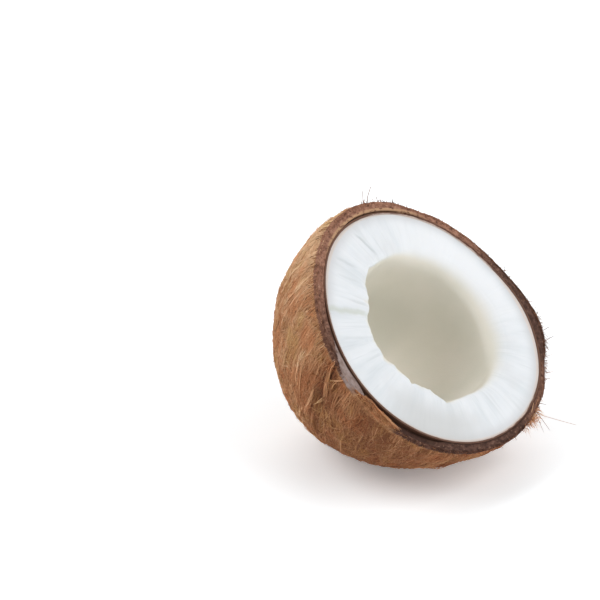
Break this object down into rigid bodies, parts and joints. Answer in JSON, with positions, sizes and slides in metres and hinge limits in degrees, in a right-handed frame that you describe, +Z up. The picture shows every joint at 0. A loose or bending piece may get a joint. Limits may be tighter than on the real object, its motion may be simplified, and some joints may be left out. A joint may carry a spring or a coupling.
{
  "type": "coconut half",
  "caption": "Half a coconut, sawn across: brown fibrous coat, thin hard shell, thick white flesh round an open hollow. Lies tilted on its rounded side with the cut face up.",
  "frame": {"origin": "middle of the object's box at its base, on the surface that the half lies on", "axes": "+Z up; +X the way that the sawn face is turned, seen from above; +Y across the sawn face, level"},
  "size_m": [0.103, 0.1082, 0.0937],
  "materials": {
    "husk_fibre": "dry, coarse tan-brown plant fibres that run along the nut",
    "shell": "hard, dark brown, rough where it is sawn and dull where the coat is scraped off",
    "testa": "thin peach-brown skin",
    "meat": "moist white flesh, slightly translucent, fine radial grain on the cut"
  },
  "bodies": {
    "root": {"husk_fibre": "husk_fibre", "shell": "shell", "testa": "testa", "meat": "meat"}
  },
  "joints": []
}
